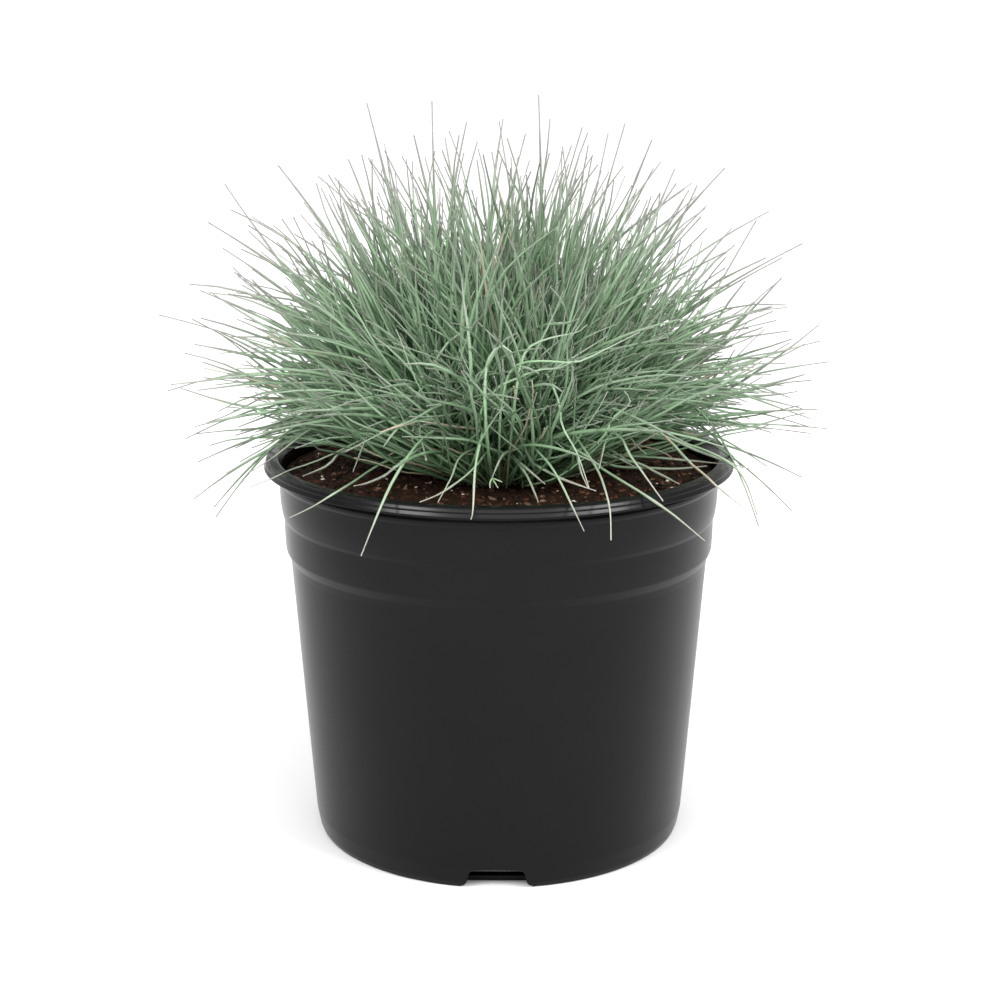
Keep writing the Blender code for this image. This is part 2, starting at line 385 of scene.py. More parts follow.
class Growth(NodeTree):
    """A Geometry Nodes tree with named inputs."""

    def __init__(self, name):
        super().__init__(bpy.data.node_groups.new(name, "GeometryNodeTree"))
        self.tree.is_modifier = True
        self.entry = self.tree.nodes.new("NodeGroupInput")
        self.given = self.input("Geometry", "Geometry")
        self.tree.interface.new_socket("Geometry", in_out="OUTPUT", socket_type="NodeSocketGeometry")

    def input(self, name, kind="Float", value=None):
        socket = self.tree.interface.new_socket(name, in_out="INPUT", socket_type=f"NodeSocket{kind}")
        if value is not None:
            socket.default_value = value
        return self.entry.outputs[name]

    def random(self, low, high, owner, seed, number):
        """A random number for each owner; number tells one use of the seed from another."""
        own_seed = self.plus(seed, number)
        return self.add("FunctionNodeRandomValue", {2: low, 3: high, "ID": owner, "Seed": own_seed}, 1)

    def vector(self, x, y, z):
        return self.add("ShaderNodeCombineXYZ", {0: x, 1: y, 2: z})

    def combine(self, operation, *values):
        output = "Value" if operation in ("LENGTH", "DOT_PRODUCT") else "Vector"
        return self.add("ShaderNodeVectorMath", dict(enumerate(values)), output, operation=operation)

    def scaled(self, vector, factor):
        return self.add("ShaderNodeVectorMath", {0: vector, "Scale": factor}, operation="SCALE")

    def between(self, factor, first, second):
        return self.add("ShaderNodeMix", {0: factor, 4: first, 5: second}, 1, data_type="VECTOR")

    def marked(self, geometry, name, value, domain="POINT"):
        """The geometry with a named number on each point or instance."""
        return self.add("GeometryNodeStoreNamedAttribute", {
            "Geometry": geometry, "Name": name, "Value": value,
        }, domain=domain, data_type="FLOAT")

    def finish(self, geometry, material):
        """The tree's end: instances made real and the material set."""
        real = self.add("GeometryNodeRealizeInstances", {0: geometry})
        surfaced = self.add("GeometryNodeSetMaterial", {"Geometry": real, "Material": material})
        way_out = self.tree.nodes.new("NodeGroupOutput")
        self.tree.links.new(surfaced, way_out.inputs[0])
        return self.tree


def grown(name, tree, sizes, source=None):
    """A plain mesh object made by the tree, with sizes set on its named inputs."""
    mesh = source or bpy.data.meshes.new(name)
    made = bpy.data.objects.new(name, mesh)
    bpy.context.scene.collection.objects.link(made)
    worker = made.modifiers.new("growth", "NODES")
    worker.node_group = tree
    for socket in tree.interface.items_tree:
        if socket.name in sizes:
            worker[socket.identifier] = sizes[socket.name]
    return worked_in(made)


def strewing():
    """Strews copies of a grain over the flat top of a surface, turned and sized at random."""
    most_tilt = 0.7
    large_rarity = 2.5
    tree = Growth("strewn_grains")
    grain = tree.input("Grain", "Object")
    density = tree.input("Density", value=1.0)
    smallest = tree.input("Smallest", value=1 * MM)
    largest = tree.input("Largest", value=3 * MM)
    level = tree.input("Level", value=0.14)
    flatness = tree.input("Flatness", value=0.5)
    clear_radius = tree.input("Clear Radius", value=0.02)
    rim_radius = tree.input("Rim Radius", value=0.08)
    sunk = tree.input("Sunk", value=0.3)
    seed = tree.input("Seed", "Int", 1)
    finish = tree.input("Material", "Material")

    across, back, up = tree.split(tree.add("GeometryNodeInputPosition", {}))
    on_top = tree.math("GREATER_THAN", up, level)
    from_axis = tree.combine("LENGTH", tree.vector(across, back, 0.0))
    outside_crown = tree.math("GREATER_THAN", from_axis, clear_radius)
    inside_pot = tree.math("LESS_THAN", from_axis, rim_radius)
    chosen = tree.times(on_top, tree.times(outside_crown, inside_pot))
    points = tree.add("GeometryNodeDistributePointsOnFaces", {
        "Mesh": tree.given, "Selection": chosen, "Density": density, "Seed": seed,
    })
    who = tree.add("GeometryNodeInputIndex", {})
    large_share = tree.math("POWER", tree.random(0.0, 1.0, who, seed, 1), large_rarity)
    size = tree.range(large_share, 0.0, 1.0, smallest, largest)
    long_side = tree.times(size, tree.random(1.0, 1.9, who, seed, 2))
    thickness = tree.times(size, flatness)
    turn = tree.vector(
        tree.random(-most_tilt, most_tilt, who, seed, 3),
        tree.random(-most_tilt, most_tilt, who, seed, 4),
        tree.random(0.0, math.tau, who, seed, 5),
    )
    drop = tree.times(tree.times(thickness, sunk), -1.0)
    lowered = tree.add("GeometryNodeSetPosition", {
        "Geometry": points, "Offset": tree.vector(0.0, 0.0, drop),
    })
    shape = tree.add("GeometryNodeObjectInfo", {"Object": grain}, "Geometry")
    copies = tree.add("GeometryNodeInstanceOnPoints", {
        "Points": lowered, "Instance": shape, "Rotation": turn,
        "Scale": tree.vector(long_side, size, thickness),
    })
    toned = tree.marked(copies, "tint", tree.random(0.0, 1.0, who, seed, 6), "INSTANCE")
    return tree.finish(toned, finish)


def rough_grain(name, subdivisions, roughness, seed):
    """A unit lump, dented at random, to be strewn."""
    bm = bmesh.new()
    bmesh.ops.create_icosphere(bm, subdivisions=subdivisions, radius=0.5)
    for vert in bm.verts:
        vert.co *= 1 + roughness * noise.noise(vert.co * 3 + Vector((seed, 0, 0)))
    return object_of(name, bm, earth_finish, math.radians(50))


def bark_finish():
    """Bark crumbs from black-brown to rust, lighter where they are broken."""
    bark = Shading("bark_crumbs", roughness=0.8, specular=0.14)
    tint = bark.attribute("tint")
    brown = bark.ramp(tint, [
        (0.0, (0.005, 0.0025, 0.001)),
        (0.55, (0.014, 0.006, 0.003)),
        (0.76, (0.06, 0.022, 0.011)),
        (0.92, (0.13, 0.05, 0.026)),
        (1.0, (0.21, 0.135, 0.085)),
    ])
    grain = bark.noise(700, detail=4)
    colour = bark.mix(bark.range(grain, 0.3, 0.75), brown, (0.012, 0.0055, 0.003, 1))
    return bark.finish(Base_Color=colour, Normal=bark.bump(grain, 0.5, 0.3 * MM))


def perlite_finish():
    """Expanded perlite: chalky off-white grains, dusted brown."""
    perlite = Shading("perlite", roughness=0.85, specular=0.3)
    dust = perlite.noise(600)
    colour = perlite.mix(perlite.range(dust, 0.4, 0.7), (0.62, 0.57, 0.5, 1), (0.27, 0.2, 0.15, 1))
    return perlite.finish(Base_Color=colour, Normal=perlite.bump(dust, 0.5, 0.3 * MM))


strewn = strewing()
crumb_shape = rough_grain("crumb_shape", 1, 0.7, 3.0)
perlite_shape = rough_grain("perlite_shape", 2, 0.5, 8.0)
strewn_kinds = [
    ("bark_crumbs", crumb_shape, bark_finish(), {
        "Density": 270000.0, "Smallest": 0.7 * MM, "Largest": 3.2 * MM, "Flatness": 0.6, "Seed": 4,
    }),
    ("perlite_grains", perlite_shape, perlite_finish(), {
        "Density": 5200.0, "Smallest": 0.8 * MM, "Largest": 2.2 * MM, "Flatness": 0.8, "Seed": 21,
    }),
]
for name, shape, finish, sizes in strewn_kinds:
    sizes.update({
        "Grain": shape, "Material": finish, "Level": mix_level - 2.5 * MM,
        "Clear Radius": 24 * MM, "Rim Radius": mix_radius - 1.6 * MM, "Sunk": 0.15,
    })
    grains = grown(name, strewn, sizes, source=potting_mix_plug.data.copy())
    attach(grains, "root")
bpy.data.objects.remove(crumb_shape)
bpy.data.objects.remove(perlite_shape)


# ---------------------------------------------------------------- fescue blades
# The leaves of one grown clump: rolled, needle-thin blades that rise from the crown at the
# middle of the mix and fan out to a dome. They grow in small tufts, each with its own lean,
# in three belts from upright to outer, with a few dry blades low among them.

clump_low, clump_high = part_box("fescue_clump")
crown_level = mix_level + 1.5 * MM
reach_up = clump_high[2] - crown_level
reach_side = (clump_high[0] - clump_low[0]) / 2
golden_angle = math.pi * (3 - math.sqrt(5))
points_on_blade = 13
lip_outside = lip_radius + 2.2 * MM
lip_inside = lip_radius - 9 * MM
fall_past_lip = 2.2


def blade_finish():
    """Blue fescue leaf: a grey-green bloom over green, darker toward the root as painted shade in the
    clump, and mauve-grey far out, partly its own colour and partly painted shade at the sides and back.
    """
    leaf = Shading("blue_fescue_leaf", roughness=0.6, specular=0.3)
    along = leaf.attribute("along")
    tint = leaf.attribute("tint")
    # Both leaf ramps darken toward the root end: painted shade deep in the clump.
    bloom = leaf.ramp(along, [
        (0.0, (0.12, 0.13, 0.06)),
        (0.12, (0.185, 0.295, 0.145)),
        (0.35, (0.245, 0.405, 0.22)),
        (0.65, (0.235, 0.375, 0.215)),
        (0.88, (0.245, 0.325, 0.23)),
        (1.0, (0.235, 0.245, 0.21)),
    ])
    green = leaf.ramp(along, [
        (0.0, (0.05, 0.06, 0.025)),
        (0.15, (0.05, 0.105, 0.042)),
        (0.55, (0.047, 0.105, 0.044)),
        (0.88, (0.065, 0.115, 0.057)),
        (1.0, (0.10, 0.10, 0.085)),
    ])
    straw = leaf.ramp(along, [
        (0.0, (0.15, 0.11, 0.065)),
        (0.5, (0.29, 0.25, 0.17)),
        (1.0, (0.37, 0.32, 0.245)),
    ])
    living = leaf.mix(leaf.range(tint, 0.0, 0.9), green, bloom)
    outer_half = leaf.range(along, 0.45, 0.9)
    _, toward_back, height = leaf.split(leaf.place)
    hanging = leaf.range(height, pot_height + 16 * MM, pot_height + 2 * MM, 0.1, 1.0)
    faded = leaf.times(leaf.times(outer_half, leaf.attribute("bleached")), hanging)
    living = leaf.mix(faded, living, (0.37, 0.345, 0.30, 1))
    from_crown = leaf.add("ShaderNodeVectorMath", {0: leaf.place, 1: (0, 0, crown_level)}, "Value",
                          operation="DISTANCE")
    # Far out the blades turn mauve-grey, partly their own colour and partly painted shade at the sides
    # and back; the front keeps a quarter of it.
    mauve_and_shade_far_out = leaf.range(from_crown, 94 * MM, 130 * MM, 0.0, 0.85)
    off_front = leaf.range(toward_back, -75 * MM, -20 * MM, 0.25, 1.0)
    living = leaf.mix(leaf.times(mauve_and_shade_far_out, off_front), living, (0.21, 0.185, 0.19, 1))
    colour = leaf.mix(leaf.range(tint, 0.98, 0.985), living, straw)
    mottling = leaf.noise(300)
    colour = leaf.mix(leaf.range(mottling, 0.4, 0.8, 0.0, 0.3), colour, (0.27, 0.36, 0.25, 1))
    return leaf.finish(Base_Color=colour)


def blade_skin(tree, lines, width, least_tint, bleached, seed):
    """Rolls each line into a leaf: full width from the root, drawn out to a point at the tip."""
    thinnest = 0.22 * MM
    owner = tree.add("GeometryNodeInputNamedAttribute", {"Name": "blade"}, data_type="FLOAT")
    along = tree.add("GeometryNodeSplineParameter", {})
    own_width = tree.times(width, tree.random(0.72, 1.12, owner, seed, 31))
    drawn_out = tree.random(4.0, 12.0, owner, seed, 33)
    taper = tree.minus(1.0, tree.math("POWER", along, drawn_out))
    narrow_root = tree.plus(0.72, tree.times(tree.math("MINIMUM", along, 0.2), 1.4))
    radius = tree.times(tree.times(own_width, 0.5), tree.times(taper, narrow_root))
    radius = tree.math("MAXIMUM", radius, thinnest)
    own_bleach = tree.times(bleached, tree.random(0.3, 1.0, owner, seed, 34))
    marked = tree.marked(lines, "along", along)
    marked = tree.marked(marked, "tint", tree.random(least_tint, 1.0, owner, seed, 32))
    marked = tree.marked(marked, "bleached", own_bleach)
    section = tree.add("GeometryNodeCurvePrimitiveCircle", {"Resolution": 4, "Radius": 1.0})
    skin = tree.add("GeometryNodeCurveToMesh", {
        "Curve": marked, "Profile Curve": section, "Scale": radius, "Fill Caps": True,
    })
    return tree.add("GeometryNodeSetShadeSmooth", {"Geometry": skin})


def rested(tree, free):
    """The place lifted clear of the mix and of the pot's lip, on which a low blade rests."""
    across, back, up = tree.split(free)
    from_axis = tree.combine("LENGTH", tree.vector(across, back, 0.0))
    past_lip = tree.math("MAXIMUM", tree.minus(from_axis, lip_outside), 0.0)
    before_lip = tree.math("MAXIMUM", tree.minus(lip_inside, from_axis), 0.0)
    lip_rest = tree.minus(pot_height + 0.9 * MM, tree.times(past_lip, fall_past_lip))
    lip_rest = tree.minus(lip_rest, before_lip)
    over_mix = tree.math("LESS_THAN", from_axis, lip_radius)
    mix_rest = tree.minus(tree.times(over_mix, 1 + mix_level + 1 * MM), 1.0)
    lowest = tree.math("MAXIMUM", lip_rest, mix_rest)
    height = tree.math("SMOOTH_MAX", up, lowest, 1.5 * MM)
    return tree.vector(across, back, height)


def fan_of_blades():
    """Grows tufts of blades from a sunflower spiral of roots, leaning out more the farther out."""
    tree = Growth("fan_of_blades")
    tufts = tree.input("Tufts", "Int", 30)
    per_tuft = tree.input("Blades in Tuft", "Int", 24)
    least_lean = tree.input("Least Lean", value=0.0)
    most_lean = tree.input("Most Lean", value=1.0)
    tuft_jitter = tree.input("Tuft Jitter", value=0.25)
    least_up = tree.input("Least Rise", value=0.07)
    front_up = tree.input("Front Rise", value=0.4)
    front_cross = tree.input("Front Crossing", value=0.55)
    front_drawn_in = tree.input("Front Drawn In", value=0.16)
    spread = tree.input("Spread", value=0.3)
    root_radius = tree.input("Root Radius", value=30 * MM)
    tuft_radius = tree.input("Tuft Radius", value=5 * MM)
    level = tree.input("Crown Level", value=0.14)
    up = tree.input("Reach Up", value=0.14)
    out = tree.input("Reach Out", value=0.12)
    shortest = tree.input("Shortest", value=0.6)
    rarity = tree.input("Long Blade Rarity", value=3.0)
    least_straight = tree.input("Least Straight", value=0.35)
    sway = tree.input("Sway", value=8 * MM)
    waviness = tree.input("Waviness", value=5.5 * MM)
    kinked_share = tree.input("Kinked Share", value=0.05)
    width = tree.input("Width", value=1.05 * MM)
    least_tint = tree.input("Least Tint", value=0.0)
    bleached = tree.input("Bleached", value=0.15)
    seed = tree.input("Seed", "Int", 1)
    finish = tree.input("Material", "Material")

    droop_from, flat_lean = 0.75, 1.5
    elbow_share = 0.52
    lift_over_lip = 20 * MM
    kink_strength = 0.85
    index = tree.add("GeometryNodeInputIndex", {})
    blade = tree.math("FLOOR", tree.math("DIVIDE", index, points_on_blade))
    step = tree.minus(index, tree.times(blade, points_on_blade))
    t = tree.math("DIVIDE", step, points_on_blade - 1)
    tuft = tree.math("FLOOR", tree.math("DIVIDE", blade, per_tuft))
    share = tree.math("DIVIDE", tree.plus(tuft, 0.5), tufts)

    def either(owner, number):
        """A random number from -1 to 1."""
        return tree.random(-1.0, 1.0, owner, seed, number)

    def any_way(owner, number, size):
        """A random step, along each axis up to that size."""
        return tree.scaled(tree.vector(*(either(owner, number + axis) for axis in range(3))), size)

    def direction(angle, round_angle):
        """The way that leans by one angle from upright and faces along the other."""
        flat = tree.math("SINE", angle)
        across = tree.times(flat, tree.math("COSINE", round_angle))
        back = tree.times(flat, tree.math("SINE", round_angle))
        return tree.vector(across, back, tree.math("COSINE", angle))

    azimuth = tree.plus(tree.times(tuft, golden_angle), tree.times(either(tuft, 1), 0.4))
    cos_least = tree.math("COSINE", least_lean)
    cos_most = tree.math("COSINE", most_lean)
    cos_lean = tree.range(share, 0.0, 1.0, cos_least, cos_most)
    tuft_lean = tree.math("ARCCOSINE", cos_lean)
    tuft_way = tree.combine("ADD", direction(tuft_lean, azimuth), any_way(tuft, 40, tuft_jitter))
    astray = tree.combine("MULTIPLY", any_way(blade, 50, spread), (1.4, 1.4, 0.8))
    own_way = tree.combine("ADD", tree.combine("NORMALIZE", tuft_way), astray)
    toward_front = tree.range(tree.combine("DOT_PRODUCT", own_way, (0.0, -1.0, 0.0)), 0.2, 0.9)
    crossing = tree.times(either(blade, 80), tree.times(toward_front, front_cross))
    own_way = tree.combine("ADD", own_way, tree.vector(crossing, 0.0, 0.0))
    least_rise = tree.plus(least_up, tree.random(0.0, 0.2, blade, seed, 9))
    least_rise = tree.plus(least_rise, tree.times(toward_front, front_up))
    held_up = tree.combine("MAXIMUM", own_way, tree.vector(-2.0, -2.0, least_rise))
    way = tree.combine("NORMALIZE", held_up)

    out_share = tree.math("SQRT", tree.math("DIVIDE", tuft_lean, flat_lean))
    from_axis = tree.times(root_radius, out_share)
    tuft_root = tree.scaled(direction(math.pi / 2, azimuth), from_axis)
    own_root = tree.combine("MULTIPLY", any_way(blade, 60, tuft_radius), (1.0, 1.0, 0.1))
    root = tree.combine("ADD", tree.combine("ADD", tuft_root, own_root), tree.vector(0.0, 0.0, level))

    lean = tree.math("ARCCOSINE", tree.combine("DOT_PRODUCT", way, (0.0, 0.0, 1.0)))
    droop = tree.range(lean, droop_from, flat_lean)
    long_share = tree.math("POWER", tree.random(0.0, 1.0, blade, seed, 5), rarity)
    length = tree.range(long_share, 0.0, 1.0, shortest, 1.0)
    full = tree.range(droop, 0.0, 1.0, up, out)
    drawn_in = tree.minus(1.0, tree.times(toward_front, front_drawn_in))
    reach = tree.times(tree.times(full, length), drawn_in)
    centre = tree.vector(0.0, 0.0, level)
    tip = tree.combine("ADD", centre, tree.scaled(way, reach))

    chord = tree.combine("LENGTH", tree.combine("SUBTRACT", tip, root))
    straight = tree.random(least_straight, 1.0, blade, seed, 7)
    first_way = tree.combine("NORMALIZE", tree.between(straight, (0.0, 0.0, 1.0), way))
    rise = tree.scaled(first_way, tree.times(chord, elbow_share))
    over_lip = tree.range(lean, 1.3, 1.65, 0.0, lift_over_lip)
    lifted = tree.combine("ADD", rise, tree.vector(0.0, 0.0, over_lip))
    elbow = tree.combine("ADD", tree.combine("ADD", root, lifted), any_way(blade, 70, sway))
    first_leg = tree.between(t, root, elbow)
    second_leg = tree.between(t, elbow, tip)
    arched = tree.between(t, first_leg, second_leg)
    twice = tree.times(t, 2.0)
    bent = tree.between(
        tree.math("GREATER_THAN", t, 0.5),
        tree.between(twice, root, elbow),
        tree.between(tree.minus(twice, 1.0), elbow, tip),
    )
    is_kinked = tree.math("LESS_THAN", tree.random(0.0, 1.0, blade, seed, 8), kinked_share)
    on_curve = tree.between(tree.times(is_kinked, kink_strength), arched, bent)

    drift = tree.vector(tree.times(blade, 3.7), tree.times(t, 1.3), tree.times(seed, 9.1))
    wander = tree.add("ShaderNodeTexNoise", {"Vector": drift, "Scale": 1.0, "Detail": 1.0}, "Color")
    centred = tree.combine("SUBTRACT", wander, (0.5, 0.5, 0.5))
    wave = tree.scaled(centred, tree.times(tree.times(waviness, t), 4.0))
    free = tree.combine("ADD", on_curve, wave)
    place = rested(tree, free)

    blades = tree.times(tufts, per_tuft)
    total = tree.times(blades, points_on_blade)
    dots = tree.add("GeometryNodePoints", {"Count": total, "Position": place})
    named = tree.marked(dots, "blade", blade)
    lines = tree.add("GeometryNodePointsToCurves", {"Points": named, 1: blade, "Weight": step})
    skin = blade_skin(tree, lines, width, least_tint, bleached, seed)
    return tree.finish(skin, finish)


def laid_blades():
    """Rolls leaves along the lines of a drawn mesh."""
    tree = Growth("laid_blades")
    width = tree.input("Width", value=1.15 * MM)
    least_tint = tree.input("Least Tint", value=0.0)
    bleached = tree.input("Bleached", value=0.15)
    seed = tree.input("Seed", "Int", 1)
    finish = tree.input("Material", "Material")
    drawn = tree.add("GeometryNodeMeshToCurve", {"Mesh": tree.given})
    smooth = tree.add("GeometryNodeCurveSplineType", {"Curve": drawn}, spline_type="CATMULL_ROM")
    lines = tree.add("GeometryNodeResampleCurve", {"Curve": smooth, "Count": 26}, mode="COUNT")
    skin = blade_skin(tree, lines, width, least_tint, bleached, seed)
    return tree.finish(skin, finish)


leaf_finish = blade_finish()
fan_tree = fan_of_blades()
belts = [
    ("upright_blades", {
        "Tufts": 40, "Blades in Tuft": 26, "Least Lean": 0.0, "Most Lean": math.radians(40),
        "Spread": 0.28, "Shortest": 0.64, "Sway": 9 * MM, "Least Straight": 0.3, "Seed": 11,
        "Width": 1.2 * MM, "Reach Up": reach_up * 0.93,
    }),
    ("arching_blades", {
        "Tufts": 50, "Blades in Tuft": 23, "Least Lean": math.radians(38), "Most Lean": math.radians(68),
        "Spread": 0.3, "Shortest": 0.66, "Sway": 10 * MM, "Least Straight": 0.15, "Seed": 12,
        "Width": 1.25 * MM,
    }),
    ("outer_blades", {
        "Tufts": 32, "Blades in Tuft": 16, "Least Lean": math.radians(64), "Most Lean": math.radians(83),
        "Spread": 0.26, "Shortest": 0.66, "Sway": 10 * MM, "Least Straight": 0.2, "Seed": 13,
        "Tuft Jitter": 0.4,
    }),
    ("dry_blades", {
        "Tufts": 9, "Blades in Tuft": 3, "Least Lean": math.radians(58), "Most Lean": math.radians(84),
        "Spread": 0.3, "Shortest": 0.55, "Sway": 5 * MM, "Least Straight": 0.6, "Seed": 14,
        "Kinked Share": 0.0, "Least Tint": 0.985, "Width": 0.95 * MM, "Front Rise": 0.1,
    }),
]
all_belts = {
    "Crown Level": crown_level, "Root Radius": 31 * MM, "Reach Up": reach_up,
    "Reach Out": reach_side + 6 * MM, "Material": leaf_finish,
}
for name, sizes in belts:
    blades = grown(name, fan_tree, {**all_belts, **sizes})
    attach(blades, "root")
    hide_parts("fescue_clump")


# ---------------------------------------------------------------- long and stray blades
# The clump's longest blades, which stand clear of the dome, and those that lean over the
# rim or cross the front. Each is drawn from the crown to its own tip, then rolled as a leaf.

above_lip = pot_height + 1.3 * MM


def blade_lines(name, drawn):
    """A mesh of one line for each path of places, with the path's number as an attribute."""
    mesh = bpy.data.meshes.new(name)
    bm = bmesh.new()
    number = bm.verts.layers.float.new("blade")
    for blade, path in enumerate(drawn):
        verts = [bm.verts.new(place) for place in path]
        for vert in verts:
            vert[number] = blade
        for pair in zip(verts, verts[1:]):
            bm.edges.new(pair)
    bm.to_mesh(mesh)
    bm.free()
    return mesh


def is_clear(place):
    """Whether a place over the pot is above the mix and above the lip it has to cross."""
    from_axis = math.hypot(place.x, place.y)
    to_lip = max(0, lip_inside - from_axis)
    least = max(mix_level + 1.5 * MM, above_lip - to_lip)
    return from_axis > lip_radius + 1.5 * MM or place.z > least


def drawn_to(tips, root_radius, straight, lift, seed):
    """Arched paths from the crown to the tips, which are (across, toward the back, up) in mm."""
    tries = 20
    steps = 12
    chance = random.Random(seed)
    drawn = []
    for across, back, up in tips:
        tip = Vector((across, back, up)) * MM
        outward = Vector((across, back, 0)).normalized()
        aside = Vector((-outward.y, outward.x, 0)) * chance.uniform(-11, 11) * MM
        root = outward * root_radius * chance.uniform(0.4, 1) + aside + Vector((0, 0, crown_level))
        way = (tip - root) * 0.5
        upright = Vector((0, 0, way.length))
        control = root + way.lerp(upright, 1 - straight) + Vector((0, 0, lift)) + aside * 0.6
        for _ in range(tries):
            path = [
                root * (1 - t) ** 2 + control * 2 * t * (1 - t) + tip * t**2
                for t in (step / steps for step in range(steps + 1))
            ]
            if all(is_clear(place) for place in path[2:]):
                break
            control += Vector((0, 0, 3 * MM)) + outward * 1.5 * MM
        drawn.append(path)
    return drawn


camera_place = Vector((0.45, -766.6, 321.2)) * MM
camera_tilt = math.radians(14.02)
camera_lens = 73.5
sensor_width = 36
picture_width = 1000


def seen_place(across, down, depth):
    """The place that shows at a pixel of the picture and lies at that depth along Y."""
    focal = picture_width * camera_lens / sensor_width
    sight = Vector((across - picture_width / 2, focal, picture_width / 2 - down))
    sight.rotate(Matrix.Rotation(-camera_tilt, 3, "X"))
    return camera_place + sight * ((depth - camera_place.y) / sight.y)


def height_to_spare(place):
    """How far a place is above the mix, the lip or, beside the collar, the lip's top."""
    from_axis = math.hypot(place.x, place.y)
    past_lip = max(0, from_axis - lip_outside)
    before_lip = max(0, lip_inside - from_axis)
    least = above_lip - fall_past_lip * past_lip - before_lip
    if from_axis < mix_radius:
        least = max(least, mix_level + 2 * MM)
    elif past_lip == 0 and place.z < pot_height:
        least = above_lip
    return place.z - least


def brought_clear(node):
    """The node (pixels across, down; depth) brought toward the viewer till it is clear."""
    across, down, depth = node
    nearest = depth - 75 * MM
    while depth > nearest and height_to_spare(seen_place(across, down, depth)) < 0:
        depth -= 0.5 * MM
    return Vector((across, down, depth))


def on_smooth_curve(nodes, index, t):
    """A point of the smooth curve through the nodes, a share t of the way past one of them."""
    start, end = nodes[index], nodes[index + 1]
    before = nodes[max(index - 1, 0)]
    after = nodes[min(index + 2, len(nodes) - 1)]
    bend = (2 * before - 5 * start + 4 * end - after) * t**2
    return (2 * start + (end - before) * t + bend + (3 * start - before - 3 * end + after) * t**3) / 2


def drawn_as_seen(seen_paths, rooted=True):
    """Paths through places of the picture, laid over the mix and the lip.

    Each is given by the depth of its first and last place in mm, and its places in pixels. A
    rooted one begins at the crown. Where a stretch would sink in, it gets a place more.
    """
    passes = 3
    sunk = -0.8 * MM
    shortest_stretch = 7
    most_step_back = 16 * MM
    drawn = []
    for first_depth, last_depth, pixels in seen_paths:
        nodes = []
        for number, (across, down) in enumerate(pixels):
            depth = first_depth + (last_depth - first_depth) * number / (len(pixels) - 1)
            nodes.append(brought_clear((across, down, depth * MM)))
        for _ in range(passes):
            finer = [nodes[0]]
            for index, (near, far) in enumerate(zip(nodes, nodes[1:])):
                inner = [on_smooth_curve(nodes, index, t) for t in (0.25, 0.5, 0.75)]
                least = min(height_to_spare(seen_place(*node)) for node in inner)
                if least < sunk and (far.xy - near.xy).length > shortest_stretch:
                    finer.append(brought_clear(inner[1]))
                finer.append(far)
            nodes = finer
        for index in range(len(nodes) - 2, 0, -1):
            nodes[index].z = min(nodes[index].z, nodes[index + 1].z + most_step_back)
        places = [seen_place(*node) for node in nodes]
        root = Vector((places[0].x * 0.5, places[0].y * 0.5, crown_level))
        drawn.append([root] + places if rooted else places)
    return drawn


long_tips = [
    (14.7, 0, 283.7), (-48.7, 0, 280.8), (-25, 10, 281), (47, 5, 273), (56, -10, 268), (84, 0, 257),
    (-63, -5, 255), (-82, 0, 258), (-109, 0, 237), (-105, 10, 226), (-112, -5, 212), (114, 0, 229),
    (108, 12, 222), (-128.7, 0, 202), (-117, 10, 189), (-111, -8, 183), (122, 0, 192), (125.6, 0, 184),
    (120, -12, 168), (125.9, 0, 158), (121, 10, 154), (-116, -5, 157), (33, -122, 172),
    (-37, -121, 168), (56, -114, 181), (-60, -112, 186),
]
drooping_tips = [
    (-117, -8, 132), (-107, -20, 128), (118, 8, 137), (112, -10, 128), (98, -22, 125),
]
droop_chance = random.Random(31)
for _ in range(44):
    bearing_angle = math.radians(droop_chance.uniform(-12, 192))
    drop = droop_chance.uniform(0, 1)
    out_to = droop_chance.uniform(92, 124) - 8 * drop
    drooping_tips.append((
        out_to * math.cos(bearing_angle), out_to * math.sin(bearing_angle), 164 - 34 * drop
    ))
sweeping_tips = []
sweep_chance = random.Random(52)
for number in range(48):
    off_front = math.radians(sweep_chance.uniform(18, 82)) * (1 if number % 2 else -1)
    out_to = sweep_chance.uniform(68, 108)
    sweeping_tips.append((
        out_to * math.sin(off_front), -out_to * math.cos(off_front), sweep_chance.uniform(154, 220)
    ))
